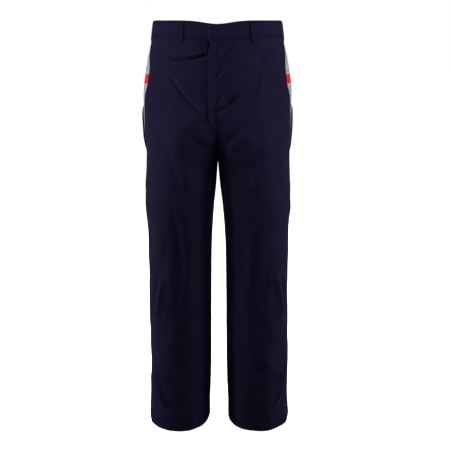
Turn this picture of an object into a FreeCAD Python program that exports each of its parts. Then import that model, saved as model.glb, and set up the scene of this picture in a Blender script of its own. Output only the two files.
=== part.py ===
# Full-length woven trousers for ice sports, hanging as they are worn: a flat front with a lapped zip
# fly, a shaped waistband with belt loops and a hidden snap, contrast side panels and straight legs.
# Millimetres. +Z is up, the front faces -Y, the wearer's left is +X.
# The origin is the centre of the waist opening, level with the top edge of the waistband.
import FreeCAD, Part
import math
import os

from FreeCAD import Vector

# Driving dimensions.
LENGTH = 1086.0            # waistband top to hem
WAISTBAND = 40.0           # height of the waistband
CROTCH = -345.0            # height of the lowest point of the crotch seam
FRONT_RISE = -205.0        # where the front starts to divide into two legs
BACK_RISE = -150.0         # where the seat starts to divide into two legs
CLOTH = 1.5                # one panel with its seam allowances
LINING = 0.8               # waistband lining
SEAM = 0.4                 # gap left between neighbouring solids
HIP_BEND = (-345.0, -475.0)    # the stretch of leg that flexes when a hip bends
KNEE_BEND = (-650.0, -750.0)   # the stretch of leg that flexes when a knee bends
HEM = 30.0                 # height of the turned-up hem

# Shape of one half of the garment: (height, size) stations, joined by smooth curves.
HALF_WIDTH = [(0, 154), (-40, 159), (-96, 170.5), (-150, 181), (-200, 183.5), (-260, 183),
              (-330, 181), (-415, 187), (-468, 188), (-522, 184.5), (-577, 185.5), (-688, 184.5),
              (-800, 187.5), (-917, 190), (-1086, 193)]
HALF_GAP = [(-345, 0), (-400, 4), (-460, 10), (-560, 16), (-700, 18), (-960, 21), (-1086, 27)]
FRONT_DEPTH = [(0, 104.5), (-40, 106.1), (-123, 109.5), (-205, 112.8), (-270, 113),
               (-345, 105), (-440, 97), (-560, 88), (-700, 82), (-1086, 80)]
BACK_DEPTH = [(0, 108), (-40, 113), (-120, 128), (-200, 136), (-270, 132),
              (-345, 112), (-440, 100), (-560, 90), (-700, 82), (-1086, 80)]
CENTRE_Y = [(0, 0), (-260, 0), (-345, 6), (-520, 6), (-1086, 2)]

# Contrast side panel: how far ahead of the side line its two edges run.
PANEL_FRONT_EDGE = [(-40, 6), (-58, 14), (-74, 23), (-96, 35), (-132, 41), (-148, 41), (-170, 32),
                    (-200, 23), (-240, 15), (-298, 8), (-345, 0)]
PANEL_BACK_EDGE = [(-40, -24), (-90, -40), (-127, -46), (-160, -44), (-200, -36), (-250, -12),
                   (-298, 4.5), (-345, -2.0)]
BLOCK_TOP = -125.0         # coloured block across the side panel
BLOCK_BOTTOM = -146.0
PANEL_TIP = -296.0

# Pocket on the back of each hip, standing slightly proud.
POCKET_TOP = -197.0
POCKET_BOTTOM = -318.0
POCKET_PROUD = 5.0
POCKET_FRONT_EDGE = [(-197, -34), (-212, -6), (-300, -3), (-318, -14)]
POCKET_BACK_EDGE = [(-197, -92), (-318, -96)]

# Fly and waist closure. Depths are measured inwards from the plane of the front.
FLY_TOP = -40.0
FLY_BOTTOM = -205.0
FLY_SLOPE = math.degrees(math.atan2(112.8 - 106.1, 165.0))
FLY_FACE = -106.1          # y of the front plane at the top of the fly
LAP_EDGE = -21.0           # free edge of the lapping side
STITCH_LINE = 17.0         # stitching that holds the facing
ZIP_X = -10.0
TAPE_DEPTH = 6.8
COIL_TOP = -55.0
COIL_BOTTOM = -198.0
SHIELD_DEPTH = 10.8
TAB_END = -24.0
TAB_HINGE = 12.0
SNAP_X = -13.0
SNAP_Z = -20.0

# Belt loops.
LOOP_WIDTH = 10.0
LOOP_LENGTH = 51.0
LOOP_STRAP = 1.6
LOOP_GAP = 6.5             # room for the belt behind the strap
LOOP_TURNS = {"front": 121.0, "side": 186.0, "back": 244.0}


def along(stations, z):
    """Smooth curve through (height, size) stations, level beyond both ends."""
    if z >= stations[0][0]:
        return float(stations[0][1])
    if z <= stations[-1][0]:
        return float(stations[-1][1])
    last = len(stations) - 1
    slopes = [(stations[k + 1][1] - stations[k][1]) / (stations[k + 1][0] - stations[k][0])
              for k in range(last)]
    k = next(i for i in range(last) if z >= stations[i + 1][0])
    start = slopes[k] if k == 0 else (slopes[k - 1] + slopes[k]) / 2
    end = slopes[k] if k == last - 1 else (slopes[k] + slopes[k + 1]) / 2
    (z0, a), (z1, b) = stations[k], stations[k + 1]
    span = z1 - z0
    t = (z - z0) / span
    return (a * (1 + 2 * t) * (1 - t) ** 2 + b * t * t * (3 - 2 * t)
            + span * (start * t * (1 - t) ** 2 - end * t * t * (1 - t)))


def division(z, rise):
    """How far the body has divided into two legs: 0 above the rise, 1 at the crotch and below."""
    return min(1.0, max(0.0, (rise - z) / (rise - CROTCH)))


def section(z, front):
    """Centre x, centre y, half width and depth of one half's cross-section, and its division."""
    split = division(z, FRONT_RISE if front else BACK_RISE)
    width = along(HALF_WIDTH, z)
    gap = along(HALF_GAP, z) if split == 1.0 else 0.0
    half = (width - gap) / (1 + split)
    depth = along(FRONT_DEPTH if front else BACK_DEPTH, z)
    return width - half, along(CENTRE_Y, z), half, depth, split


def skin(side, z, turn, inset=0.0):
    """A point of the outer surface, moved inwards by inset. turn runs round one half in degrees:
    0 at the inseam, 90 at the front, 180 at the side line, 270 at the back."""
    x0, y0, half, depth, _ = section(z, turn <= 180)
    a = math.radians(turn)
    x, y = -half * math.cos(a), -depth * math.sin(a)
    nx, ny = x / half ** 2, y / depth ** 2
    size = math.hypot(nx, ny)
    return Vector(side * (x0 + x - inset * nx / size), y0 + y - inset * ny / size, z)


def centre_front(z):
    """Turn of the centre front seam, or of the inseam below the crotch."""
    return math.degrees(math.acos(section(z, True)[4]))


def centre_back(z):
    """Turn of the centre back seam, or of the inseam below the crotch."""
    return 360 - math.degrees(math.acos(section(z, False)[4]))


def ahead(z, distance):
    """Turn of the point that lies that far ahead of the side line, or behind it if negative."""
    depth = section(z, distance > 0)[3]
    return 180 - math.degrees(math.asin(distance / depth))


def edge(stations):
    """An edge beside the side line, as a function of height."""
    return lambda z: ahead(z, along(stations, z))


def heights(top, bottom, step, crowd=1):
    """Heights from top to bottom, evenly spaced, or closer towards the bottom if crowd is over 1."""
    count = max(3, round((top - bottom) / step))
    return [bottom + (top - bottom) * (1 - k / count) ** crowd for k in range(count + 1)]


def closed(faces):
    """A solid from faces that meet edge to edge."""
    shell = Part.Compound(faces)
    shell.sewShape(0.01)
    solid = Part.Solid(shell.Shells[0])
    if solid.Volume < 0:
        solid.reverse()
    return solid


def patch(outer, inner):
    """A solid between two grids of points."""
    surfaces = []
    for grid in (outer, inner):
        surface = Part.BSplineSurface()
        surface.interpolate(grid)
        surfaces.append(surface)
    sides = []
    u0, u1, v0, v1 = surfaces[0].bounds()
    p0, p1, q0, q1 = surfaces[1].bounds()
    for a, b in ((u0, p0), (u1, p1)):
        sides.append((surfaces[0].uIso(a), surfaces[1].uIso(b)))
    for a, b in ((v0, q0), (v1, q1)):
        sides.append((surfaces[0].vIso(a), surfaces[1].vIso(b)))
    faces = [surface.toShape() for surface in surfaces]
    faces += [Part.makeRuledSurface(a.toShape(), b.toShape()) for a, b in sides]
    return closed(faces)


def panel(side, top, bottom, start, end, inset=0.0, thick=CLOTH, step=30.0, columns=10, crowd=1):
    """A cloth panel between two turns, each a function of height, with room for its seams."""
    grids = []
    for depth in (inset, inset + thick):
        rows = []
        for z in heights(top, bottom, step, crowd):
            x0, y0, half, mean, _ = section(z, True)
            room = math.degrees(SEAM / 2 / min(half, mean))
            a, b = start(z) + room, end(z) - room
            rows.append([skin(side, z, a + (b - a) * k / columns, depth) for k in range(columns + 1)])
        grids.append(rows)
    return patch(*grids)


def ring(side, top, bottom, inset=0.0, thick=CLOTH, step=40.0):
    """A closed band of cloth round one leg."""
    lofts = []
    for depth in (inset, inset + thick):
        wires = []
        for z in heights(top, bottom, step):
            points = [skin(side, z, 360.0 * k / 16, depth) for k in range(16)]
            curve = Part.BSplineCurve()
            curve.interpolate(Points=points, PeriodicFlag=True)
            wires.append(Part.Wire(curve.toShape()))
        lofts.append(Part.makeLoft(wires, True))
    return lofts[0].cut(lofts[1])


def plate(x, depth, z):
    """A flat piece of the closure, given its two ends each way, before it leans with the front."""
    return Part.makeBox(abs(x[1] - x[0]), depth[1] - depth[0], abs(z[1] - z[0]),
                        Vector(min(x), FLY_FACE + depth[0], min(z)))


def lean(shape):
    """Turns a piece of the closure into the slanting plane of the front."""
    shape.rotate(Vector(0, FLY_FACE, FLY_TOP), Vector(1, 0, 0), -FLY_SLOPE)
    return shape


def disc(x, z, radius, depth):
    """A round piece of the closure that faces forwards."""
    return Part.makeCylinder(radius, depth[1] - depth[0], Vector(x, FLY_FACE + depth[0], z),
                             Vector(0, 1, 0))


def waistband(side):
    """The outer strip from the closure round to the centre back."""
    strip = panel(side, 0, -WAISTBAND, centre_front, centre_back, thick=2.5, step=12, columns=24)
    closure = plate((TAB_END - SEAM, TAB_HINGE + SEAM), (-8, 30), (8, -WAISTBAND - 8))
    return strip.cut(lean(closure))


def waistband_lining(side):
    """The gripping strip inside the waistband."""
    reach = 48.0 if side < 0 else 20.0
    return panel(side, -2, -WAISTBAND + 2, lambda z: 90 + math.degrees(math.asin(reach / 150)),
                 centre_back, inset=2.7, thick=LINING, step=12, columns=24)


def hip_front(side):
    """The front panel from the waistband down to the bend of the hip."""
    body = panel(side, -WAISTBAND - SEAM, HIP_BEND[0], centre_front, edge(PANEL_FRONT_EDGE),
                 step=8, columns=14, crowd=1.5)
    room = plate((LAP_EDGE - SEAM, 1.2), (-9, 30), (FLY_TOP + 20, FLY_BOTTOM - 1.5))
    return body.cut(lean(room))


def hip_back(side):
    """The seat panel from the waistband down to the bend of the hip."""
    return panel(side, -WAISTBAND - SEAM, HIP_BEND[0], edge(PANEL_BACK_EDGE), centre_back,
                 step=8, columns=14, crowd=1.5)


def side_panel(side, top, bottom):
    """A stretch of the contrast panel down the side."""
    return panel(side, top, bottom, edge(PANEL_FRONT_EDGE), edge(PANEL_BACK_EDGE), step=8,
                 columns=6)


def pocket(side):
    """The pocket that stands proud on the back of the hip."""
    return panel(side, POCKET_TOP, POCKET_BOTTOM, edge(POCKET_FRONT_EDGE), edge(POCKET_BACK_EDGE),
                 inset=-POCKET_PROUD, thick=POCKET_PROUD - SEAM, step=12, columns=6)


def leg_front(side, top, bottom):
    """The front half of a stretch of leg, from inseam to side seam."""
    return panel(side, top, bottom, lambda z: 0.0, lambda z: 180.0, step=40, columns=12)


def leg_back(side, top, bottom):
    """The back half of a stretch of leg, from side seam to inseam."""
    return panel(side, top, bottom, lambda z: 180.0, lambda z: 360.0, step=40, columns=12)


def belt_loop(side, turn):
    """A strap down the waistband, standing off it to let a belt through."""
    top, low = skin(side, 0, turn), skin(side, -WAISTBAND, turn)
    outward = top - skin(side, 0, turn, 1.0)
    down = (low - top).normalize()
    across = outward.cross(down).normalize()
    outward = down.cross(across).normalize()
    out = LOOP_GAP + LOOP_STRAP
    profile = [(0.3, 0.0), (out - 1, 0.0), (out, 1.0), (out, LOOP_LENGTH - 6), (out - 3, LOOP_LENGTH),
               (1.2, LOOP_LENGTH), (1.2, LOOP_LENGTH - 4), (LOOP_GAP - 2.2, LOOP_LENGTH - 4),
               (LOOP_GAP, LOOP_LENGTH - 8.4), (LOOP_GAP, LOOP_STRAP), (0.3, LOOP_STRAP)]
    points = [top + outward * o + down * d - across * (LOOP_WIDTH / 2) for o, d in profile]
    face = Part.Face(Part.makePolygon(points + points[:1]))
    return face.extrude(across * LOOP_WIDTH)


def waistband_tab():
    """The lapping end of the waistband."""
    return lean(plate((TAB_END, TAB_HINGE - 1.5), (-0.8, 1.7), (-0.3, -WAISTBAND + 0.3)))


def waistband_tab_lining():
    """The lining behind the lapping end."""
    return lean(plate((TAB_END + 1.5, TAB_HINGE - 2), (1.7, 2.5), (-2, -WAISTBAND + 2)))


def snap_socket():
    """The female half of the snap, sewn inside the tab."""
    body = disc(SNAP_X, SNAP_Z, 6.0, (2.5, 5.6))
    return lean(body.cut(disc(SNAP_X, SNAP_Z, 2.7, (3.3, 5.7))))


def snap_stud():
    """The male half of the snap, sewn on the underlap."""
    base = disc(SNAP_X, SNAP_Z, 6.0, (6.4, 7.3))
    neck = disc(SNAP_X, SNAP_Z, 1.4, (4.6, 6.6))
    ball = Part.makeSphere(1.7, Vector(SNAP_X, FLY_FACE + 5.5, SNAP_Z))
    return lean(base.fuse(neck).fuse(ball))


def waistband_underlap():
    """The end of the waistband that passes behind the tab."""
    behind = plate((-46, 6), (7.3, 9.1), (-1, -WAISTBAND + 1))
    return lean(behind.fuse(plate((-34, TAB_END - 3.5), (5.4, 7.4), (-1, -WAISTBAND + 1))))


def fly_lip():
    """The lapping edge of the fly, in front of the zip."""
    return lean(plate((LAP_EDGE, -0.9), (-0.5, 0.7), (FLY_TOP - 1.2, FLY_BOTTOM)))


def fly_facing():
    """The facing between the left front and the left zip tape, with a rounded foot."""
    body = plate((0.9, STITCH_LINE), (2.5, TAPE_DEPTH - 0.4), (FLY_TOP - 2, FLY_BOTTOM + 1))
    foot = [e for e in body.Edges if abs(e.CenterOfMass.x - STITCH_LINE) < 0.01
            and abs(e.CenterOfMass.z - FLY_BOTTOM - 1) < 0.01]
    return lean(body.makeFillet(14.0, foot))


def fly_turnback():
    """The folded edge of the right front that the right zip tape is sewn to."""
    return lean(plate((-32, LAP_EDGE - 1), (4.0, TAPE_DEPTH - 0.4), (FLY_TOP - 2, FLY_BOTTOM + 1)))


def fly_shield():
    """The guard behind the zip."""
    return lean(plate((-34, 15), (SHIELD_DEPTH, SHIELD_DEPTH + 1.0), (FLY_TOP - 2, FLY_BOTTOM - 8)))


def zip_tape(side):
    """One woven tape of the zip."""
    x = (ZIP_X - 22, ZIP_X - 2.6) if side < 0 else (ZIP_X + 2.6, ZIP_X + 22)
    return lean(plate(x, (TAPE_DEPTH - 0.3, TAPE_DEPTH + 0.3), (FLY_TOP - 3, FLY_BOTTOM + 2)))


def zip_coil(side):
    """One row of the zip's interlocking coil, as the strip that it fills."""
    x = (ZIP_X + side * 0.5, ZIP_X + side * 2.6)
    return lean(plate(x, (TAPE_DEPTH - 1.2, TAPE_DEPTH + 1.2), (COIL_TOP, COIL_BOTTOM)))


def zip_bottom_stop():
    """The staple that ends the zip."""
    return lean(plate((ZIP_X - 2.3, ZIP_X + 2.3), (TAPE_DEPTH - 1.4, TAPE_DEPTH + 1.4),
                      (COIL_BOTTOM - 0.3, COIL_BOTTOM - 2.8)))


def zip_slider():
    """The slider: two plates and a divider round the coil, and a bail for the pull."""
    top, low = COIL_TOP + 8.0, COIL_TOP - 3.0
    near, far = TAPE_DEPTH - 1.5, TAPE_DEPTH + 1.5
    front = plate((ZIP_X - 4.2, ZIP_X + 4.2), (near - 0.9, near), (top, low))
    back = plate((ZIP_X - 4.2, ZIP_X + 4.2), (far, far + 0.9), (top, low))
    post = plate((ZIP_X - 0.2, ZIP_X + 0.2), (near - 0.1, far + 0.1), (top, top - 3))
    bail = plate((ZIP_X - 0.8, ZIP_X + 0.8), (near - 2.7, near - 0.8), (top - 1, low + 1))
    window = plate((ZIP_X - 1, ZIP_X + 1), (near - 2.1, near - 0.9), (top - 2, low + 2))
    return lean(front.fuse(back).fuse(post).fuse(bail.cut(window)))


def zip_pull():
    """The pull: a loop through the bail and a tab with a hole at its end."""
    hinge = COIL_TOP + 3.0
    near, far = TAPE_DEPTH - 3.3, TAPE_DEPTH - 2.7
    tab = plate((ZIP_X - 3, ZIP_X + 3), (near, far), (hinge + 0.3, hinge - 20))
    tab = tab.cut(plate((ZIP_X - 1.4, ZIP_X + 1.4), (near - 1, far + 1), (hinge - 0.3, hinge - 7.6)))
    return lean(tab.cut(disc(ZIP_X, hinge - 17, 1.5, (near - 1, far + 1))))


def size_label():
    """The blank label sewn under the waistband at the centre back."""
    halves = [panel(side, -WAISTBAND - 3, -WAISTBAND - 33, lambda z: 262.0, centre_back,
                    inset=CLOTH + 0.3, thick=0.4, step=10, columns=4) for side in (-1, 1)]
    return Part.Compound(halves)


def save(name, shape):
    """Writes one sub-part."""
    shape.exportStep("parts/" + name + ".step")
    print(name, round(shape.Volume), shape.isValid())


os.makedirs("parts", exist_ok=True)

for side, name in ((-1, "right"), (1, "left")):
    save("waistband_" + name, waistband(side))
    save("waistband_lining_" + name, waistband_lining(side))
    save("hip_front_" + name, hip_front(side))
    save("hip_back_" + name, hip_back(side))
    save("side_panel_upper_" + name, side_panel(side, -WAISTBAND - SEAM, BLOCK_TOP))
    save("side_panel_block_" + name, side_panel(side, BLOCK_TOP - SEAM, BLOCK_BOTTOM))
    save("side_panel_lower_" + name, side_panel(side, BLOCK_BOTTOM - SEAM, PANEL_TIP))
    save("hip_pocket_" + name, pocket(side))
    save("hip_bend_" + name, ring(side, HIP_BEND[0] - SEAM, HIP_BEND[1]))
    save("thigh_front_" + name, leg_front(side, HIP_BEND[1] - SEAM, KNEE_BEND[0]))
    save("thigh_back_" + name, leg_back(side, HIP_BEND[1] - SEAM, KNEE_BEND[0]))
    save("knee_bend_" + name, ring(side, KNEE_BEND[0] - SEAM, KNEE_BEND[1]))
    save("shin_front_" + name, leg_front(side, KNEE_BEND[1] - SEAM, -LENGTH))
    save("shin_back_" + name, leg_back(side, KNEE_BEND[1] - SEAM, -LENGTH))
    save("hem_" + name, ring(side, -LENGTH + HEM, -LENGTH + 0.5, inset=CLOTH + SEAM, thick=1.2,
                             step=10))
    save("zip_tape_" + name, zip_tape(side))
    save("zip_coil_" + name, zip_coil(side))
    for place, turn in LOOP_TURNS.items():
        save("belt_loop_" + place + "_" + name, belt_loop(side, turn))

save("belt_loop_centre_back", belt_loop(1, 270.0))
save("waistband_underlap", waistband_underlap())
save("waistband_tab", waistband_tab())
save("waistband_tab_lining", waistband_tab_lining())
save("snap_socket", snap_socket())
save("snap_stud", snap_stud())
save("fly_lip", fly_lip())
save("fly_facing", fly_facing())
save("fly_turnback", fly_turnback())
save("fly_shield", fly_shield())
save("zip_bottom_stop", zip_bottom_stop())
save("zip_slider", zip_slider())
save("zip_pull", zip_pull())
save("size_label", size_label())
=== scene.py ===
import bpy
import math
import numpy as np
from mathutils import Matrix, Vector


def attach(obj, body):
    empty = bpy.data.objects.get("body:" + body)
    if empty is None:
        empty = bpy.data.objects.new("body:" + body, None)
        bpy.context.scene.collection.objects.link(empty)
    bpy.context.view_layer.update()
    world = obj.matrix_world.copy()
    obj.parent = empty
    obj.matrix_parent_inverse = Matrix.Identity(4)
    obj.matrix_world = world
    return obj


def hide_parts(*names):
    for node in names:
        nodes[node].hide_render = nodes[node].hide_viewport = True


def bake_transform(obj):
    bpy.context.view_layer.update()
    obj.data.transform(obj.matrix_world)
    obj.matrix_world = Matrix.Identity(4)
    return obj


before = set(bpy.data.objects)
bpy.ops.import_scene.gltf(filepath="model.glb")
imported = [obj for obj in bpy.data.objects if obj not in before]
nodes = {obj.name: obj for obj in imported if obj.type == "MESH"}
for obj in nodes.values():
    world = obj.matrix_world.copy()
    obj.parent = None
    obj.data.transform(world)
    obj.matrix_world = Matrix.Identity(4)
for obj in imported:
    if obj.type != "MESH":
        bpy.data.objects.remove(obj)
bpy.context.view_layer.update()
MM = 0.001

# ---------------------------------------------------------------------------------------------------
# The cut of the garment, in millimetres: the same curves as the CAD part, but for the back edge of the
# side panel, which closes onto the front edge below the panel's tip.
# ---------------------------------------------------------------------------------------------------
LENGTH = 1086.0
WAISTBAND = 40.0
CROTCH = -345.0
FRONT_RISE = -205.0
BACK_RISE = -150.0
SPLIT = -570.0             # where the upper and the lower piece of a leg meet
HEM_STITCH = 26.0 - LENGTH
HALF_WIDTH = [(0, 154), (-40, 159), (-96, 170.5), (-150, 181), (-200, 183.5), (-260, 183),
              (-330, 181), (-415, 187), (-468, 188), (-522, 184.5), (-577, 185.5), (-688, 184.5),
              (-800, 187.5), (-917, 190), (-1086, 193)]
HALF_GAP = [(-345, 0), (-400, 4), (-460, 10), (-560, 16), (-700, 18), (-960, 21), (-1086, 27)]
FRONT_DEPTH = [(0, 104.5), (-40, 106.1), (-123, 109.5), (-205, 112.8), (-270, 113),
               (-345, 105), (-440, 97), (-560, 88), (-700, 82), (-1086, 80)]
BACK_DEPTH = [(0, 108), (-40, 113), (-120, 128), (-200, 136), (-270, 132),
              (-345, 112), (-440, 100), (-560, 90), (-700, 82), (-1086, 80)]
CENTRE_Y = [(0, 0), (-260, 0), (-345, 6), (-520, 6), (-1086, 2)]
PANEL_FRONT_EDGE = [(-40, 6), (-58, 14), (-74, 23), (-96, 35), (-132, 41), (-148, 41), (-170, 32),
                    (-200, 23), (-240, 15), (-298, 8), (-345, 0)]
PANEL_BACK_EDGE = [(-40, -24), (-90, -40), (-127, -46), (-160, -44), (-200, -36), (-250, -12),
                   (-298, 7.5), (-345, 0)]
BLOCK_TOP, BLOCK_BOTTOM, PANEL_TIP = -125.0, -146.0, -296.0
POCKET_TOP, POCKET_BOTTOM, POCKET_PROUD = -197.0, -318.0, 5.0
POCKET_FRONT_EDGE = [(-197, -34), (-212, -6), (-300, -3), (-318, -14)]
POCKET_BACK_EDGE = [(-197, -92), (-318, -96)]
FLY_TOP, FLY_BOTTOM, FLY_FACE = -40.0, -205.0, -106.1
FLY_SLOPE = math.atan2(112.8 - 106.1, 165.0)
LAP_EDGE, STITCH_LINE, ZIP_X, TAPE_DEPTH = -21.0, 17.0, -10.0, 6.8
COIL_TOP, COIL_BOTTOM = -55.0, -198.0
TAB_END, TAB_HINGE = -24.0, 12.0
LOOP_WIDTH, LOOP_LENGTH = 10.0, 51.0
LOOP_TURNS = {"front": 121.0, "side": 186.0, "back": 244.0}
SIDES = ((-1, "right"), (1, "left"))
THREAD_PITCH, STITCH_LENGTH = 2.8, 2.0


def along(stations, z):
    """Smooth curve through (height, size) stations, for an array of heights."""
    z = np.asarray(z, float)
    h = np.array([s[0] for s in stations], float)
    v = np.array([s[1] for s in stations], float)
    slope = np.diff(v) / np.diff(h)
    start = np.concatenate([[slope[0]], (slope[:-1] + slope[1:]) / 2])
    end = np.concatenate([(slope[:-1] + slope[1:]) / 2, [slope[-1]]])
    k = np.clip(np.searchsorted(-h, -z, side="left") - 1, 0, len(slope) - 1)
    span = h[k + 1] - h[k]
    t = np.clip((z - h[k]) / span, 0, 1)
    return (v[k] * (1 + 2 * t) * (1 - t) ** 2 + v[k + 1] * t * t * (3 - 2 * t)
            + span * (start[k] * t * (1 - t) ** 2 - end[k] * t * t * (1 - t)))


def smooth(low, high, x):
    """0 below low and 1 above high, smoothly."""
    t = np.clip((np.asarray(x, float) - low) / (high - low), 0, 1)
    return t * t * (3 - 2 * t)


def bump(x, middle, width):
    """A smooth hump, 1 high in the middle."""
    return np.exp(-((np.asarray(x, float) - middle) / width) ** 2)


def section(z, front):
    """Centre x, centre y, half width and depth of one half's cross-section, and its division."""
    z = np.asarray(z, float)
    rise = np.where(front, FRONT_RISE, BACK_RISE)
    split = np.clip((rise - z) / (rise - CROTCH), 0, 1)
    width = along(HALF_WIDTH, z)
    gap = np.where(split >= 1, along(HALF_GAP, z), 0.0)
    half = (width - gap) / (1 + split)
    depth = np.where(front, along(FRONT_DEPTH, z), along(BACK_DEPTH, z))
    return width - half, along(CENTRE_Y, z), half, depth, split


def constant(turn):
    """The same turn at every height."""
    return lambda z: turn + 0.0 * z


def centre_front(z):
    """Turn of the inner edge of a front panel."""
    return np.degrees(np.arccos(section(z, True)[4]))


def centre_back(z):
    """Turn of the inner edge of a back panel."""
    return 360 - np.degrees(np.arccos(section(z, False)[4]))


def edge(stations):
    """Turn of an edge that lies so far ahead of the side line."""
    def turn(z):
        distance = along(stations, z)
        return 180 - np.degrees(np.arcsin(distance / section(z, distance > 0)[3]))
    return turn


def across(x, side=1):
    """Turn of the front at that x."""
    def turn(z):
        x0, _, half, _, _ = section(z, True)
        return np.degrees(np.arccos(np.clip((x0 - side * x) / half, -1, 1)))
    return turn


# ---------------------------------------------------------------------------------------------------
# How the cloth lies: folds, settling and seams, as small moves off the cut shape.
# ---------------------------------------------------------------------------------------------------
# Each fold is a line of (x, z) on the front, its width, its height, and the depth of the crease
# beside it (on the right-hand side going along the line).
FRONT_FOLDS = [
    ([(-122, -80), (-98, -83), (-70, -82), (-40, -74), (-14, -62)], 5.5, 3.0, -5.4),
    ([(-118, -104), (-94, -138), (-66, -174), (-36, -200), (-14, -226)], 9.5, 2.0, -3.4),
    ([(62, -158), (40, -184), (14, -205), (-16, -214)], 7, 2.8, -4.2),
    ([(26, -92), (8, -118), (-8, -137)], 5, 1.7, -2.0),
    ([(16, -160), (7, -180), (0, -196)], 4.5, 1.6, -2.0),
    ([(-20, -202), (-18, -222), (-12, -244)], 5, 1.4, -3.2),
    ([(-88, -262), (-74, -262), (-62, -270)], 5.5, 1.0, -2.0),
    ([(112, -52), (106, -105), (97, -150), (86, -225)], 9, 1.8, -0.3),
    ([(16, -46), (4, -62), (-4, -84)], 5, 1.2, -1.6),
    ([(46, -48), (34, -66), (22, -84)], 6, 1.2, -1.6),
    ([(-84, -232), (-44, -262), (-16, -300)], 13, 2.2, -2.4),
    ([(86, -238), (48, -268), (18, -304)], 13, 2.0, -2.4),
    ([(-128, -250), (-96, -330), (-72, -420)], 20, 2.2, -1.6),
    ([(126, -262), (98, -340), (76, -420)], 20, 2.0, -1.6),
    ([(-104, -400), (-88, -500), (-84, -600), (-96, -760)], 20, 3.0, -2.4),
    ([(92, -470), (80, -560), (84, -660)], 18, 2.0, -1.4),
    ([(-146, -620), (-158, -690), (-174, -780)], 8, 3.8, -2.6),
    ([(-180, -890), (-170, -965), (-150, -1030)], 8, 4.0, -2.8),
    ([(180, -775), (164, -690), (150, -615)], 8, 3.8, -2.6),
    ([(156, -1030), (176, -965), (188, -890)], 8, 4.0, -2.8),
    ([(50, -868), (95, -885), (140, -900), (186, -935)], 26, 2.4, -2.2),
    ([(-180, -840), (-132, -872), (-70, -884)], 28, 1.6, -1.3),
    ([(-40, -728), (-88, -756), (-140, -762)], 30, 1.4, -1.2),
    ([(40, -704), (96, -740), (146, -748)], 30, 1.4, -1.2),
]
BACK_FOLDS = [
    ([(-110, -330), (-70, -352), (-30, -350)], 14, 2.4, -3.0),
    ([(110, -330), (70, -352), (30, -350)], 14, 2.4, -3.0),
    ([(-128, -388), (-90, -404), (-44, -398)], 15, 2.2, -2.6),
    ([(126, -384), (92, -402), (46, -400)], 15, 2.2, -2.6),
    ([(-60, -190), (-36, -240), (-16, -300)], 16, 1.8, -2.0),
    ([(60, -190), (36, -240), (16, -300)], 16, 1.8, -2.0),
    ([(-150, -640), (-110, -668), (-60, -660)], 15, 2.6, -2.8),
    ([(150, -646), (110, -668), (58, -664)], 15, 2.6, -2.8),
    ([(-154, -716), (-116, -734), (-70, -742)], 16, 2.4, -2.6),
    ([(150, -712), (118, -738), (72, -738)], 16, 2.4, -2.6),
    ([(-60, -880), (-104, -905), (-150, -900)], 18, 2.2, -2.0),
    ([(62, -886), (104, -902), (152, -894)], 18, 2.2, -2.0),
    ([(-100, -430), (-108, -520), (-104, -610)], 22, 1.8, -1.4),
    ([(104, -430), (100, -520), (106, -610)], 22, 1.8, -1.4),
]


FOLD_GAIN = 1.55           # how much stronger than listed every fold is


def curve_points(points, count=20):
    """A smooth line through a few points, and how far along it each sample is."""
    p = np.array([points[0]] + list(points) + [points[-1]], float)
    out = []
    spans = len(points) - 1
    per = max(4, count // spans)
    for k in range(spans):
        a, b, c, d = p[k], p[k + 1], p[k + 2], p[k + 3]
        for t in np.arange(per) / per:
            out.append(0.5 * (2 * b + (c - a) * t + (2 * a - 5 * b + 4 * c - d) * t * t
                              + (3 * b - a - 3 * c + d) * t ** 3))
    out.append(p[-2])
    return np.array(out)


def fold(x, z, points, width, height, crease):
    """The height of one fold at each place: a soft ridge with a narrower crease beside it."""
    line = curve_points(points)
    start, step = line[:-1], np.diff(line, axis=0)
    length = np.hypot(step[:, 0], step[:, 1])
    travelled = np.concatenate([[0], np.cumsum(length)])
    result = np.zeros_like(x)
    near = ((x > line[:, 0].min() - 4 * width) & (x < line[:, 0].max() + 4 * width)
            & (z > line[:, 1].min() - 4 * width) & (z < line[:, 1].max() + 4 * width))
    if not near.any():
        return result
    px, pz = x[near][:, None], z[near][:, None]
    t = np.clip(((px - start[:, 0]) * step[:, 0] + (pz - start[:, 1]) * step[:, 1]) / length ** 2, 0, 1)
    dx, dz = px - start[:, 0] - t * step[:, 0], pz - start[:, 1] - t * step[:, 1]
    distance = np.hypot(dx, dz)
    k = distance.argmin(axis=1)
    row = np.arange(len(k))
    sign = np.sign(step[k, 0] * dz[row, k] - step[k, 1] * dx[row, k])
    place = (travelled[k] + t[row, k] * length[k]) / travelled[-1]
    d = sign * distance[row, k]
    ends = smooth(0, 0.3, place) * smooth(0, 0.3, 1 - place)
    ridge = np.exp(-((d - 0.5 * width) / width) ** 2)
    valley = np.exp(-((d + 0.75 * width) / (0.62 * width)) ** 2)
    result[near] = ends * (height * ridge + crease * valley)
    return result


def lattice(a, b, seed):
    """Smooth seeded noise between -1 and 1 on two coordinates measured in cells."""
    i, j = np.floor(a).astype(int), np.floor(b).astype(int)
    f, g = smooth(0, 1, a - i), smooth(0, 1, b - j)

    def value(m, n):
        h = np.sin(m * 127.1 + n * 311.7 + seed * 74.7) * 43758.5453
        return (h - np.floor(h)) * 2 - 1

    top = value(i, j) * (1 - f) + value(i + 1, j) * f
    low = value(i, j + 1) * (1 - f) + value(i + 1, j + 1) * f
    return top * (1 - g) + low * g


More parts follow.
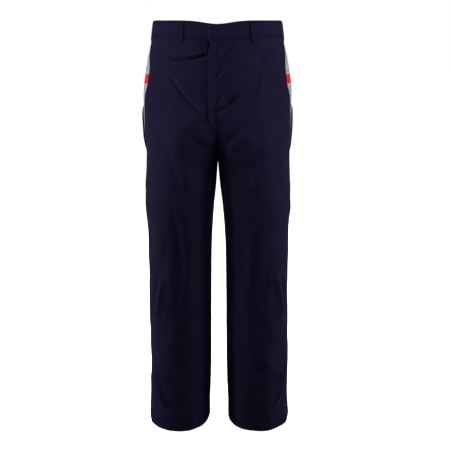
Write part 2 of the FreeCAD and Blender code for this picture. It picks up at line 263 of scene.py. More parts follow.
def relief(side, x, z, turn, front):
    """How far the cloth stands off its cut shape, in millimetres outwards."""
    facing = np.abs(np.sin(np.radians(turn)))
    height = np.zeros_like(x)
    for folds, mask in ((FRONT_FOLDS, front), (BACK_FOLDS, ~front)):
        if mask.any():
            total = np.zeros(int(mask.sum()))
            for points, width, ridge, crease in folds:
                total += fold(x[mask], z[mask], points, width, ridge, crease)
            height[mask] += FOLD_GAIN * total * smooth(0.05, 0.45, facing[mask])
    along_turn = turn / 26.0
    wide = lattice(along_turn, z / 95.0 + 3.3 * side, 3 + side) * 1.9
    middle = lattice(along_turn * 2.1 + z / 70.0, z / 46.0, 11 + side) * 1.1
    small = lattice(along_turn * 5.0 - z / 40.0, z / 22.0, 19 + side) * 0.3
    inner = smooth(4, 40, np.abs(x)) + smooth(-CROTCH - 20, -CROTCH + 60, -z)
    calm = smooth(40, 80, -z) * np.clip(inner, 0, 1) * smooth(0, 18, turn) * smooth(0, 18, 360 - turn)
    height += (wide + middle) * calm + small * np.minimum(1, calm + 0.4)
    # The side seams and the seams of the legs lie a little lower than the cloth beside them.
    hips = smooth(-330, -300, z)
    height -= 0.8 * bump(turn, 180, 1.0) * (1 - hips)
    height -= 0.9 * (bump(turn, 0, 1.2) + bump(turn, 360, 1.2))
    # The hem hangs a little fuller, and its stitching pulls in.
    height += 2.4 * smooth(1020, 1086, -z) - 0.6 * bump(z, HEM_STITCH, 2.4)
    # Nothing presses on the zip behind the fly.
    fly = front * smooth(-25, -20, x) * (1 - smooth(18, 26, x)) * smooth(FLY_BOTTOM - 1, FLY_BOTTOM + 9, z)
    height = height * (1 - fly) + fly * np.maximum(height, -1.3)
    # The right front dips under the lapping edge, most of all below the waistband.
    under = front * smooth(-44, -26, x) * (1 - smooth(-21, -16, x))
    under = under * smooth(FLY_BOTTOM - 6, FLY_BOTTOM + 14, z)
    height -= under * (1.7 + 2.2 * bump(z, -54, 20))
    return height


def settle(x, z, turn):
    """How far the waist settles down at its centres and sides, and the hem rises at its seams."""
    centre = np.where(turn < 180, 7.5 * bump(x, 0, 42), 0.0) * smooth(-150, -45, z)
    sides = 2.6 * bump(turn, 180, 10) * smooth(-WAISTBAND, 0, z)
    back = np.where(turn > 180, 10.0 * bump(x, 0, 52), 0.0) * smooth(-WAISTBAND - 30, 0, z)
    hem = 7.0 * (bump(turn, 180, 20) + bump(turn, 0, 20) + bump(turn, 360, 20)) * smooth(1000, LENGTH, -z)
    return hem - centre - sides - back


LEG_SPLAY = 2.6            # how much further out the left leg stands


def place(side, turn, z, out=0.0):
    """Points of the finished cloth, in millimetres. turn runs round one half in degrees: 0 at the
    inseam, 90 at the front, 180 at the side line, 270 at the back."""
    turn, z = np.broadcast_arrays(np.asarray(turn, float), np.asarray(z, float))
    front = turn <= 180
    x0, y0, half, depth, _ = section(z, front)
    a = np.radians(turn)
    x, y = -half * np.cos(a), -depth * np.sin(a)
    nx, ny = x / half ** 2, y / depth ** 2
    size = np.hypot(nx, ny)
    gx = side * (x0 + x)
    off = relief(side, gx, z, turn, front) + out
    splay = LEG_SPLAY * smooth(345, 560, -z) if side > 0 else 0.0
    return np.stack([side * (x0 + x + off * nx / size) + splay, y0 + y + off * ny / size,
                     z + settle(gx, z, turn)], axis=-1)


def normals(side, turn, z):
    """Outward normals of the finished cloth."""
    turn, z = np.broadcast_arrays(np.asarray(turn, float), np.asarray(z, float))
    t, h = 0.35, 1.2
    low, high = np.maximum(z - h, -LENGTH), np.minimum(z + h, 0.0)
    round_it = place(side, turn + t, z) - place(side, turn - t, z)
    down = place(side, turn, low) - place(side, turn, high)
    n = np.cross(down, round_it) * side
    return n / np.linalg.norm(n, axis=-1, keepdims=True)


# ---------------------------------------------------------------------------------------------------
# Mesh helpers.
# ---------------------------------------------------------------------------------------------------
def new_object(name, points, faces, material, uv=None, wear_and_shade=None):
    """A smooth mesh from points in millimetres, with how much of its edge colour the cloth takes at each
    point from 0 to 1: wear on the light cloths, painted shade on the navy.
    """
    mesh = bpy.data.meshes.new(name)
    mesh.from_pydata((np.asarray(points) * MM).tolist(), [], [list(map(int, f)) for f in faces])
    mesh.validate()
    mesh.polygons.foreach_set("use_smooth", [True] * len(mesh.polygons))
    loops = np.zeros(len(mesh.loops), int)
    mesh.loops.foreach_get("vertex_index", loops)
    if uv is not None:
        layer = mesh.uv_layers.new(name="cloth")
        layer.data.foreach_set("uv", np.asarray(uv, np.float32)[loops].ravel())
    wear_and_shade_spread = mesh.attributes.new("wear_and_shade", "FLOAT", "POINT")
    values = np.zeros(len(mesh.vertices), np.float32) if wear_and_shade is None else np.asarray(wear_and_shade, np.float32)
    wear_and_shade_spread.data.foreach_set("value", values)
    mesh.materials.append(material)
    obj = bpy.data.objects.new(name, mesh)
    bpy.context.scene.collection.objects.link(obj)
    return obj


def grid_faces(rows, columns, offset=0, flip=False):
    index = offset + np.arange(rows * columns).reshape(rows, columns)
    quads = np.stack([index[:-1, :-1], index[1:, :-1], index[1:, 1:], index[:-1, 1:]], -1).reshape(-1, 4)
    return quads[:, ::-1] if flip else quads


def lengths(points):
    """Distance travelled along each row and down each column of a grid, in metres."""
    u = np.zeros(points.shape[:2])
    u[:, 1:] = np.cumsum(np.linalg.norm(np.diff(points, axis=1), axis=-1), axis=1)
    v = np.zeros(points.shape[:2])
    v[1:] = np.cumsum(np.linalg.norm(np.diff(points, axis=0), axis=-1), axis=0)
    return u * MM, v * MM


def grid_normals(points):
    u = np.gradient(points, axis=1)
    v = np.gradient(points, axis=0)
    n = np.cross(u, v)
    return n / np.maximum(np.linalg.norm(n, axis=-1, keepdims=True), 1e-9)


def shell(name, points, thick, material, outward=None, edges="", radius=1.2, normal=None, wear_and_shade_spread=1.5,
          seam_shade=0.0):
    """A closed piece of cloth of that thickness behind a grid of points. The edges named in edges
    (t, b, s, e: top, bottom, start, end) are rounded; the others are cut square. The last argument is
    where painted shade darkens the cloth along a seam, from 0 to 1; near its rounded edges the cloth
    also takes its edge colour, which is wear on the light cloths and painted shade on the navy."""
    points = np.asarray(points, float)
    n = grid_normals(points) if normal is None else normal
    if normal is None and (n * outward).sum(-1).mean() < 0:
        n = -n
    u, v = lengths(points)
    du, dv = u / MM, v / MM
    ahead = np.gradient(points, axis=1)
    ahead /= np.maximum(np.linalg.norm(ahead, axis=-1, keepdims=True), 1e-9)
    down = np.gradient(points, axis=0)
    down /= np.maximum(np.linalg.norm(down, axis=-1, keepdims=True), 1e-9)
    reach = np.full(u.shape, 99.0)
    tilt = np.zeros_like(points)
    for key, distance, direction in (("s", du, -ahead), ("e", du.max(1, keepdims=True) - du, ahead),
                                     ("t", dv, -down), ("b", dv.max(0, keepdims=True) - dv, down)):
        if key in edges:
            reach = np.minimum(reach, distance)
            tilt += np.clip(1 - distance / radius, 0, 1)[..., None] * direction
    t = np.clip(reach / radius, 0, 1)
    full = np.sqrt(np.clip(1 - (1 - t) ** 2, 0, 1))[..., None]
    middle = points - n * thick / 2
    outer, inner = middle + n * full * thick / 2, middle - n * full * thick / 2
    rows, columns = u.shape
    count = rows * columns
    flip = (np.cross(ahead, down) * n).sum() > 0
    faces = [grid_faces(rows, columns, 0, flip), grid_faces(rows, columns, count, not flip)]
    index = np.arange(count).reshape(rows, columns)
    for rim in (index[0], index[-1][::-1], index[:, 0][::-1], index[:, -1]):
        quad = np.stack([rim[:-1], rim[1:], rim[1:] + count, rim[:-1] + count], -1)
        faces.append(quad[:, ::-1] if flip else quad)
    uv = np.stack([u, -v], -1).reshape(-1, 2)
    # Near edges and seams the cloth takes its edge colour: wear on the light cloths, painted shade on the
    # navy.
    wear_and_shade = np.clip(np.exp(-reach / wear_and_shade_spread) + seam_shade, 0, 1).ravel()
    obj = new_object(name, np.concatenate([outer.reshape(-1, 3), inner.reshape(-1, 3)]),
                     np.concatenate(faces), material, np.tile(uv, (2, 1)), np.tile(wear_and_shade, 2))
    set_normals(obj.data, (n * full + tilt).reshape(-1, 3), (tilt - n * full).reshape(-1, 3),
                2 * (rows - 1) * (columns - 1))
    return obj


def set_normals(mesh, outer, inner, first_rim):
    """Gives the two faces of a shell their own normals and leaves its rims flat."""
    both = np.concatenate([outer, inner])
    both /= np.maximum(np.linalg.norm(both, axis=-1, keepdims=True), 1e-9)
    corner = np.zeros(len(mesh.loops), int)
    mesh.loops.foreach_get("vertex_index", corner)
    totals = np.zeros(len(mesh.polygons), int)
    mesh.polygons.foreach_get("loop_total", totals)
    owner = np.repeat(np.arange(len(totals)), totals)
    flat = np.zeros(len(mesh.polygons) * 3)
    mesh.polygons.foreach_get("normal", flat)
    chosen = both[corner]
    rim = owner >= first_rim
    chosen[rim] = flat.reshape(-1, 3)[owner[rim]]
    mesh.normals_split_custom_set(chosen.tolist())


def spread(start, end, step, crowd=0.0):
    """Parameters from start to end, with extra ones close to both ends if crowd is given."""
    count = max(2, int(round(abs(end - start) / step)))
    values = list(np.linspace(start, end, count + 1))
    if crowd:
        sign = 1 if end > start else -1
        extra = [crowd * k for k in (0.15, 0.45, 0.9)]
        values += [start + sign * e for e in extra] + [end - sign * e for e in extra]
    return np.array(sorted(set(np.round(values, 5)), reverse=end < start))


JOINED_WIDTH = 300.0       # width used for panels that have to share their columns with the next one


def panel(name, side, heights, start, end, thick, material, step=3.2, edges="", out=0.0, wear_and_shade_spread=1.0,
          columns=None):
    """A panel of cloth between two turns, each a function of height."""
    z = np.asarray(heights, float)[:, None]
    a, b = np.asarray(start(z), float), np.asarray(end(z), float)
    middle = z[len(z) // 2]
    _, _, half, depth, _ = section(middle, True)
    wide = float(np.radians(np.abs(b - a)).max() * max(half.max(), depth.max()))
    if columns:
        wide = JOINED_WIDTH
    else:
        columns = max(6, int(wide / step))
    t = np.linspace(0, 1, columns + 1)
    if edges:
        t = np.array(sorted(set(list(t) + [0.4 / wide, 1.1 / wide, 1 - 1.1 / wide, 1 - 0.4 / wide])))
    turn = a + (b - a) * t[None, :]
    zz = np.broadcast_to(z, turn.shape)
    points = place(side, turn, zz, out)
    return shell(name, points, thick, material, None, edges, normal=normals(side, turn, zz), wear_and_shade_spread=wear_and_shade_spread)


def lean(points):
    """Turns points of the closure into the slanting plane of the front."""
    p = np.array(points, float)
    y, z = p[..., 1] - FLY_FACE, p[..., 2] - FLY_TOP
    c, s = math.cos(-FLY_SLOPE), math.sin(-FLY_SLOPE)
    p[..., 1] = FLY_FACE + y * c - z * s
    p[..., 2] = FLY_TOP + y * s + z * c
    return p


def soft_plate(name, x, depth, z, material, radius=1.0, step=2.5, wave=0.25, curve=None, drop=True):
    """A rounded piece of cloth in the plane of the closure, from its two ends each way."""
    xs = spread(min(x), max(x), step, radius)
    zs = spread(max(z), min(z), step, radius)
    gx, gz = np.meshgrid(xs, zs)
    gy = FLY_FACE + depth[0] + wave * lattice(gx / 9.0, gz / 17.0, 31)
    if curve is not None:
        gx, gz = curve(gx, gz)
    points = lean(np.stack([gx, gy, gz], -1))
    if drop:
        points[..., 2] += settle(points[..., 0], points[..., 2], np.full(gx.shape, 90.0))
    return shell(name, points, depth[1] - depth[0], material, np.array([0, -1.0, 0]), "tbse", radius)


def stitches(name, path, normal, pitch=THREAD_PITCH, length=STITCH_LENGTH, radius=0.34, lift=0.12):
    """A row of thread stitches along a line of points."""
    path, normal = np.asarray(path, float), np.asarray(normal, float)
    gap = np.linalg.norm(np.diff(path, axis=0), axis=1)
    travelled = np.concatenate([[0], np.cumsum(gap)])
    points, faces = [], []
    around = 5
    profile = [(-0.5, 0.12), (-0.36, 0.8), (0.0, 1.0), (0.36, 0.8), (0.5, 0.12)]
    for s in np.arange(pitch / 2, travelled[-1], pitch):
        centre = np.array([np.interp(s, travelled, path[:, k]) for k in range(3)])
        ahead_of = np.array([np.interp(s + 0.5, travelled, path[:, k]) for k in range(3)])
        back_of = np.array([np.interp(s - 0.5, travelled, path[:, k]) for k in range(3)])
        up = np.array([np.interp(s, travelled, normal[:, k]) for k in range(3)])
        along_it = ahead_of - back_of
        along_it /= np.linalg.norm(along_it)
        up -= along_it * (up @ along_it)
        up /= np.linalg.norm(up)
        sideways = np.cross(along_it, up)
        base = len(points)
        for offset, size in profile:
            for k in range(around):
                a = 2 * math.pi * k / around
                arch = lift - 1.1 * (2 * offset) ** 2 * radius
                points.append(centre + along_it * offset * length + sideways * math.cos(a) * radius * size
                              + up * (arch + math.sin(a) * radius * size * 0.8))
        for r in range(len(profile) - 1):
            for k in range(around):
                p, q = base + r * around + k, base + r * around + (k + 1) % around
                faces.append((p, q, q + around, p + around))
        faces.append([base + k for k in range(around)][::-1])
        faces.append([base + (len(profile) - 1) * around + k for k in range(around)])
    return new_object(name, points, faces, thread)


# ---------------------------------------------------------------------------------------------------
# Materials.
# ---------------------------------------------------------------------------------------------------
class Nodes:
    """A small helper that adds nodes to a material and links them."""

    def __init__(self, name):
        self.material = bpy.data.materials.new(name)
        self.material.use_nodes = True
        self.tree = self.material.node_tree
        self.shader = self.tree.nodes["Principled BSDF"]

    def add(self, kind, **settings):
        node = self.tree.nodes.new(kind)
        for key, value in settings.items():
            if hasattr(node, key):
                setattr(node, key, value)
            else:
                node.inputs[key].default_value = value
        return node

    def link(self, a, out, b, into):
        self.tree.links.new(a.outputs[out], b.inputs[into])

    def blend(self, factor, a, b, kind="MIX"):
        """A colour between two colours, or two links, by a factor link."""
        mix = self.add("ShaderNodeMix", data_type="RGBA", blend_type=kind)
        for value, socket in ((factor, 0), (a, 6), (b, 7)):
            if isinstance(value, bpy.types.NodeSocket):
                self.tree.links.new(value, mix.inputs[socket])
            elif socket == 0:
                mix.inputs[0].default_value = value
            else:
                mix.inputs[socket].default_value = (*value, 1.0)
        return mix.outputs[2]

    def math(self, operation, a, b=0.0, clamp=False):
        node = self.add("ShaderNodeMath", operation=operation, use_clamp=clamp)
        for value, socket in ((a, 0), (b, 1)):
            if isinstance(value, bpy.types.NodeSocket):
                self.tree.links.new(value, node.inputs[socket])
            else:
                node.inputs[socket].default_value = value
        return node.outputs[0]


def wave_scale(period_mm):
    """Scale of a wave texture whose bands are that far apart, on coordinates in metres."""
    return 2 * math.pi / (20 * period_mm * MM)


def cloth_material(name, colour, shade, wear_and_shade, rough, sheen, tint, weave="twill", period=0.75,
                   depth=0.00008, specular=0.16):
    """Woven cloth: a colour and a darker tone mottled into it at random, the colour of its edges and seams
    (wear on the light cloths, painted shade on the navy), and the period of its weave.
    """
    m = Nodes(name)
    uv = m.add("ShaderNodeUVMap", uv_map="cloth")
    slant = {"twill": 63, "rib": 90, "plain": 0}[weave]
    angle = m.add("ShaderNodeMapping", Rotation=(0, 0, math.radians(slant)))
    m.link(uv, 0, angle, 0)
    lines = m.add("ShaderNodeTexWave", bands_direction="X", Scale=wave_scale(period), Distortion=0.6,
                  Detail=1.0)
    lines.inputs["Detail Scale"].default_value = 40.0
    m.link(angle, 0, lines, 0)
    second = m.add("ShaderNodeTexWave", bands_direction="Y", Scale=wave_scale(period * 0.8), Distortion=0.4,
                   Detail=1.0)
    m.link(uv, 0, second, 0)
    weave_height = m.math("MULTIPLY", lines.outputs[1], second.outputs[1])
    yarn = m.add("ShaderNodeTexNoise", Scale=900.0, Detail=2.0, Roughness=0.6)
    m.link(uv, 0, yarn, 0)
    broad = m.add("ShaderNodeTexNoise", Scale=26.0, Detail=4.0, Roughness=0.62)
    m.link(uv, 0, broad, 0)
    spread_tone = m.add("ShaderNodeMapRange")
    spread_tone.inputs["From Min"].default_value = 0.32
    spread_tone.inputs["From Max"].default_value = 0.68
    m.tree.links.new(broad.outputs[0], spread_tone.inputs[0])
    base = m.blend(spread_tone.outputs[0], shade, colour)
    thread = m.blend(weave_height, tuple(c * 0.72 for c in shade), base)
    mixed = m.blend(m.math("MULTIPLY", yarn.outputs[0], 0.5), thread, base)
    # Along edges and seams the edge colour is blended in: wear on the light cloths, painted shade on the
    # navy.
    edge_wear_and_shade = m.add("ShaderNodeAttribute", attribute_name="wear_and_shade")
    uneven = m.math("ADD", yarn.outputs[0], 0.35)
    patchy = m.math("MULTIPLY", edge_wear_and_shade.outputs["Fac"], uneven, clamp=True)
    m.tree.links.new(m.blend(patchy, mixed, wear_and_shade), m.shader.inputs["Base Color"])
    roughness = m.add("ShaderNodeMapRange")
    roughness.inputs["To Min"].default_value = rough - 0.07
    roughness.inputs["To Max"].default_value = min(1.0, rough + 0.07)
    m.tree.links.new(yarn.outputs[0], roughness.inputs[0])
    m.tree.links.new(roughness.outputs[0], m.shader.inputs["Roughness"])
    fine = m.add("ShaderNodeBump", Strength=1.0, Distance=depth)
    m.tree.links.new(weave_height, fine.inputs["Height"])
    puckers = m.add("ShaderNodeTexNoise", Scale=150.0, Detail=3.0, Roughness=0.55)
    m.link(uv, 0, puckers, 0)
    soft = m.add("ShaderNodeBump", Strength=0.5, Distance=0.0006)
    m.link(puckers, 0, soft, "Height")
    m.link(fine, 0, soft, "Normal")
    m.link(soft, 0, m.shader, "Normal")
    m.shader.inputs["Specular IOR Level"].default_value = specular
    m.shader.inputs["Sheen Weight"].default_value = sheen
    m.shader.inputs["Sheen Roughness"].default_value = 0.45
    m.shader.inputs["Sheen Tint"].default_value = (*tint, 1.0)
    return m.material


def metal_material(name, colour, rough):
    """Plated metal with fine scratches."""
    m = Nodes(name)
    where = m.add("ShaderNodeTexCoord")
    scratches = m.add("ShaderNodeTexNoise", Scale=700.0, Detail=5.0, Roughness=0.7)
    stretch = m.add("ShaderNodeMapping", Scale=(1.0, 1.0, 0.12))
    m.link(where, "Object", stretch, 0)
    m.link(stretch, 0, scratches, 0)
    patina = m.add("ShaderNodeTexNoise", Scale=240.0, Detail=3.0)
    m.link(where, "Object", patina, 0)
    m.tree.links.new(m.blend(patina.outputs[0], tuple(c * 0.78 for c in colour), colour),
                     m.shader.inputs["Base Color"])
    m.tree.links.new(m.math("MULTIPLY_ADD", scratches.outputs[0], 0.25), m.shader.inputs["Roughness"])
    m.shader.inputs["Roughness"].links[0].from_node.inputs[2].default_value = rough
    bumps = m.add("ShaderNodeBump", Strength=0.4, Distance=0.00003)
    m.link(scratches, 0, bumps, "Height")
    m.link(bumps, 0, m.shader, "Normal")
    m.shader.inputs["Metallic"].default_value = 1.0
    return m.material


def thread_material(name, colour, light, specular):
    """Twisted yarn, also used for the moulded coil of the zip."""
    m = Nodes(name)
    where = m.add("ShaderNodeTexCoord")
    twist = m.add("ShaderNodeTexWave", bands_direction="DIAGONAL", Scale=wave_scale(0.5), Distortion=1.0)
    m.link(where, "Object", twist, 0)
    fuzz = m.add("ShaderNodeTexNoise", Scale=1400.0, Detail=2.0)
    m.link(where, "Object", fuzz, 0)
    both = m.math("MULTIPLY", twist.outputs[1], fuzz.outputs[0])
    m.tree.links.new(m.blend(both, colour, light), m.shader.inputs["Base Color"])
    bumps = m.add("ShaderNodeBump", Strength=0.8, Distance=0.0001)
    m.tree.links.new(twist.outputs[1], bumps.inputs["Height"])
    m.link(bumps, 0, m.shader, "Normal")
    m.shader.inputs["Roughness"].default_value = 0.7
    m.shader.inputs["Specular IOR Level"].default_value = specular
    return m.material


# The navy's edge colour is far darker than its cloth: painted shade along its edges and seams.
navy = cloth_material("navy_twill", (0.0072, 0.0057, 0.0188), (0.0052, 0.0040, 0.0144),
                      (0.0016, 0.0011, 0.0050), 0.90, 0.03, (0.70, 0.65, 0.85), specular=0.02)
grey = cloth_material("grey_cloth", (0.215, 0.215, 0.245), (0.185, 0.185, 0.210), (0.25, 0.25, 0.28),
                      0.88, 0.02, (1.0, 1.0, 1.0), weave="plain", period=0.7, specular=0.05)
red = cloth_material("red_cloth", (0.46, 0.012, 0.018), (0.40, 0.009, 0.014), (0.36, 0.016, 0.020),
                     0.88, 0.02, (1.0, 0.6, 0.6), weave="plain", period=0.7, specular=0.05)
lining = cloth_material("gripper_lining", (0.022, 0.021, 0.030), (0.015, 0.014, 0.021),
                        (0.05, 0.05, 0.06), 0.8, 0.1, (0.7, 0.7, 0.8), weave="rib", period=1.6,
                        depth=0.0002)
# The zip tape has its own dark navy, darkened further as painted shade for the slit behind the lip.
tape = cloth_material("zip_tape", (0.0050, 0.0042, 0.0120), (0.0034, 0.0028, 0.0085), (0.012, 0.011, 0.020),
                      0.90, 0.03, (0.6, 0.6, 0.8), weave="rib", period=0.9, depth=0.00012, specular=0.03)
satin = cloth_material("label_satin", (0.72, 0.72, 0.70), (0.62, 0.62, 0.60), (0.80, 0.80, 0.78),
                       0.45, 0.25, (1, 1, 1), weave="plain", period=0.4, depth=0.00004, specular=0.4)
# The thread is much darker than the cloth: its own navy, with painted shade for the sunken stitch lines.
thread = thread_material("navy_thread", (0.0008, 0.0006, 0.0024), (0.0022, 0.0016, 0.0065), 0.02)
nickel = metal_material("fastener_metal", (0.56, 0.56, 0.57), 0.24)
# The coil has its own dark colour, darkened further as painted shade for the slit behind the lip.
nylon = thread_material("zip_coil", (0.004, 0.004, 0.008), (0.012, 0.012, 0.018), 0.15)

for node_name in ("zip_slider", "zip_pull", "zip_bottom_stop", "snap_socket", "snap_stud"):
    mesh = nodes[node_name].data
    mesh.materials.clear()
    mesh.materials.append(nickel)


def cloth(piece, stands_for, body):
    """Hides the CAD nodes that a sheet of cloth stands for, and attaches the sheet to the body it moves with.
    A piece given no body is left unattached."""
    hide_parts(*stands_for)
    if body:
        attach(piece, body)


def sewn(row, body):
    """Attaches a row of stitches to the body it moves with."""
    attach(row, body)


# ---------------------------------------------------------------------------------------------------
# Legs and hips: each panel runs from the waistband to above the knee, and from there to the hem.
# ---------------------------------------------------------------------------------------------------
CLOTH = 1.2
LEG_X = 0.098
FRONT_COLUMNS, BACK_COLUMNS = 110, 96
ROUND = 300                # points of a line once round a leg


def upper_heights():
    """Rows of an upper panel: closest at the crotch, with extra ones at the waist and the fly's foot."""
    hip = CROTCH + (-WAISTBAND - CROTCH) * (1 - np.linspace(0, 1, 86)) ** 1.25
    below = CROTCH + (SPLIT - CROTCH) * np.linspace(0, 1, 71)[1:] ** 1.15
    top = [-WAISTBAND - 0.5, -WAISTBAND - 1.4]
    fly = [FLY_BOTTOM - 1.6, FLY_BOTTOM - 3.4]
    return np.array(sorted(set(np.round(list(hip) + list(below) + top + fly, 4)), reverse=True))


def lower_heights():
    """Even rows of a lower panel, and three at the stitching of the hem."""
    rows = list(np.linspace(SPLIT, -LENGTH, 160)) + [HEM_STITCH, HEM_STITCH - 1.5, HEM_STITCH + 1.5]
    return np.array(sorted(set(rows), reverse=True))


def front_start(side):
    """Where a front panel starts: at the fly on the right, at the centre line on the left."""
    x = LAP_EDGE - 0.5 if side < 0 else 0.6

    def turn(z):
        return np.where(z > FLY_BOTTOM - 2, across(x, side)(z), centre_front(z))
    return turn


def above_crotch(seam):
    """A seam of the hips, which is the side line further down."""
    return lambda z: np.where(z > CROTCH, seam(z), 180.0)


def leg_bend(piece, joint):
    if joint == "hip":
        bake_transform(piece)
    else:
        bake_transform(piece)


for side, name in SIDES:
    front_seam, back_seam = above_crotch(edge(PANEL_FRONT_EDGE)), above_crotch(edge(PANEL_BACK_EDGE))
    # The right front's edge under the lapping fly gets a wider band of painted shade.
    lapped, lap_shade_spread = ("s", 3.0) if side < 0 else ("", 1.0)
    for part, heights, start, end, edges, columns, wear_and_shade_spread, joint, stands_for, flat in (
            ("front_upper_", upper_heights(), front_start(side), front_seam, lapped + "e", FRONT_COLUMNS,
             lap_shade_spread, "hip", ("hip_front_", "hip_bend_", "thigh_front_"), (0.27, 0.54)),
            ("back_upper_", upper_heights(), back_seam, centre_back, "se", BACK_COLUMNS,
             1.0, "hip", ("hip_back_", "thigh_back_"), (0.31, 0.55)),
            ("front_lower_", lower_heights(), constant(0.0), constant(180.0), lapped + "eb", FRONT_COLUMNS,
             1.0, "knee", ("knee_bend_", "shin_front_"), (0.26, 0.516)),
            ("back_lower_", lower_heights(), constant(180.0), constant(360.0), "seb", BACK_COLUMNS,
             1.0, "knee", ("shin_back_",), (0.26, 0.516))):
        piece = panel(part + name, side, heights, start, end, CLOTH, navy, edges=edges, columns=columns,
                      wear_and_shade_spread=wear_and_shade_spread)
        leg_bend(piece, joint)
        cloth(piece, [node + name for node in stands_for], None)

    hem = panel("hem_turnup_" + name, side, spread(-LENGTH + 30, -LENGTH + 0.8, 3.0, 1.2),
                constant(0.0), constant(360.0), 1.0, navy, edges="tb", out=-CLOTH - 0.15)
    cloth(hem, ["hem_" + name], name + "_shin")
    turns, level = np.linspace(1, 359, ROUND), np.full(ROUND, HEM_STITCH)
    sewn(stitches("hem_stitching_" + name, place(side, turns, level), normals(side, turns, level),
                  pitch=3.4, length=2.1), name + "_shin")


def pocket_points(side):
    """The outer surface of a pocket: crowned, with a stitched line inside its edge."""
    zs = spread(POCKET_TOP, POCKET_BOTTOM, 2.6, 1.4)[:, None]
    t = np.array([0, 0.005, 0.015, 0.03, 0.05] + list(np.linspace(0.08, 0.92, 34))
                 + [0.95, 0.97, 0.985, 0.995, 1.0])[None, :]
    first, last = edge(POCKET_FRONT_EDGE)(zs), edge(POCKET_BACK_EDGE)(zs)
    turn = first + (last - first) * t
    down = (zs - POCKET_TOP) / (POCKET_BOTTOM - POCKET_TOP)
    crown = np.clip(4 * t * (1 - t), 0, 1) ** 0.5 * np.clip(4 * down * (1 - down), 0, 1) ** 0.5
    seam = bump(t, 0.055, 0.012) + bump(t, 0.945, 0.012) + bump(down, 0.05, 0.010) + bump(down, 0.95, 0.012)
    proud = POCKET_PROUD - 0.9 + 0.9 * crown - 0.6 * np.minimum(seam, 1.0)
    return place(side, turn, np.broadcast_to(zs, turn.shape), proud)


for side, name in SIDES:
    for part, top, bottom, material, slot_name, length, used in (
            ("side_panel_upper_", -WAISTBAND, BLOCK_TOP, grey, "grey_cloth", 0.086, 0.85),
            ("side_panel_block_", BLOCK_TOP, BLOCK_BOTTOM, red, "red_cloth", 0.026, 1.0),
            ("side_panel_lower_", BLOCK_BOTTOM, PANEL_TIP, grey, "grey_cloth", 0.150, 0.62)):
        piece = panel(part + "cloth_" + name, side, spread(top - 0.3, bottom + 0.1, 3.0, 1.2),
                      edge(PANEL_FRONT_EDGE), edge(PANEL_BACK_EDGE), CLOTH, material, edges="tbse")
        cloth(piece, [part + name], "seat")

    points = pocket_points(side)
    outward = points - np.array([side * LEG_X / MM, 0, 0])
    outward[..., 2] = 0
    pocket = shell("hip_pocket_cloth_" + name, points, POCKET_PROUD - 0.8, navy, outward, "tbse", 2.4)
    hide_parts("hip_pocket_" + name)
    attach(pocket, "seat")

# ---------------------------------------------------------------------------------------------------
# Waistband, its lining and its closure.
# ---------------------------------------------------------------------------------------------------
BAND = 2.4
BAND_STITCH = -35.2
TAB_START, TAB_LIFT = TAB_HINGE + 1.0, 0.6
# Dents and bulges of the crumpled centre front: x, z, half width, half height and how proud it is.
DENTS = ((-2, -24, 7, 6, -1.2), (9, -30, 5, 6, 1.0), (-15, -28, 6, 7, 0.9), (20, -27, 6, 8, 0.8),
         (30, -20, 9, 8, -0.5), (-36, -20, 9, 9, 0.5), (2, -8.0, 34, 3.0, 2.0), (2, -14.5, 38, 3.0, -1.5))


def band_points(side, turn, z, out=0.0):
    """The waistband's outer surface: rolled at its top edge, crumpled at the centre front."""
    turn, z = np.broadcast_arrays(np.asarray(turn, float), np.asarray(z, float))
    x = place(side, turn, z)[..., 0]
    lift = 0.9 + out - 0.7 * bump(z, BAND_STITCH, 1.0) - 0.6 * bump(z, -WAISTBAND, 1.3)
    for middle_x, middle_z, wide, high, size in DENTS:
        lift = lift + (turn < 180) * size * bump(x, middle_x, wide) * bump(z, middle_z, high)
    return place(side, turn, z, lift)


def band_inward(side, turn, z):
    """Directions straight into the waistband."""
    t, h = 0.3, 0.6
    n = np.cross(band_points(side, turn + t, z) - band_points(side, turn - t, z),
                 band_points(side, turn, z - h) - band_points(side, turn, z + h)) * side
    return n / np.linalg.norm(n, axis=-1, keepdims=True)


def band(name, side, start, end, thick, material, out=0.0, top=0.0, bottom=-WAISTBAND - 0.6, edges="tb"):
    """A strip of the waistband between two turns, with painted shade along its stitching."""
    zs = spread(top, bottom, 1.25, 1.2)[:, None]
    a, b = start(zs), end(zs)
    wide = float(np.radians(np.abs(b - a)).max() * 150)
    t = np.linspace(0, 1, max(10, int(wide / 2.6)) + 1)
    t = np.array(sorted(set(list(t) + [0.5 / wide, 1.2 / wide, 1 - 1.2 / wide, 1 - 0.5 / wide])))
    turn = a + (b - a) * t[None, :]
    points = band_points(side, turn, np.broadcast_to(zs, turn.shape), out)
    outward = points.copy()
    outward[..., 2] = 0
    return shell(name, points, thick, material, outward, edges, 1.2,
                 seam_shade=0.9 * bump(zs, BAND_STITCH, 0.8) + 0.0 * turn)


for side, name in SIDES:
    start = across(TAB_END - 0.5, -1) if side < 0 else across(TAB_START)
    strip = band("waistband_cloth_" + name, side, start, constant(270.0), BAND, navy)
    cloth(strip, ["waistband_" + name], "seat")

    inner_start = across(-48.0, -1) if side < 0 else across(20.0)
    inside = band("waistband_grip_" + name, side, inner_start, constant(270.0), 0.8, lining,
                  out=-BAND - 0.25, top=-2.0, bottom=-WAISTBAND + 2, edges="tbse")
    cloth(inside, ["waistband_lining_" + name], "seat")

    first = float(start(np.array([BAND_STITCH]))[0]) + 1.0
    turns, level = np.linspace(first, 269.5, 260), np.full(260, BAND_STITCH)
    sewn(stitches("waistband_stitching_" + name, band_points(side, turns, level),
                  band_inward(side, turns, level)), "seat")


def on_front(x, z, surface):
    """A point of a surface of the front at that x, whichever half it falls on."""
    turn = np.degrees(np.arccos(np.clip(-np.abs(x) / section(z, True)[2], -1, 1)))
    return np.where((x < 0)[..., None], surface(-1, turn, z), surface(1, turn, z))


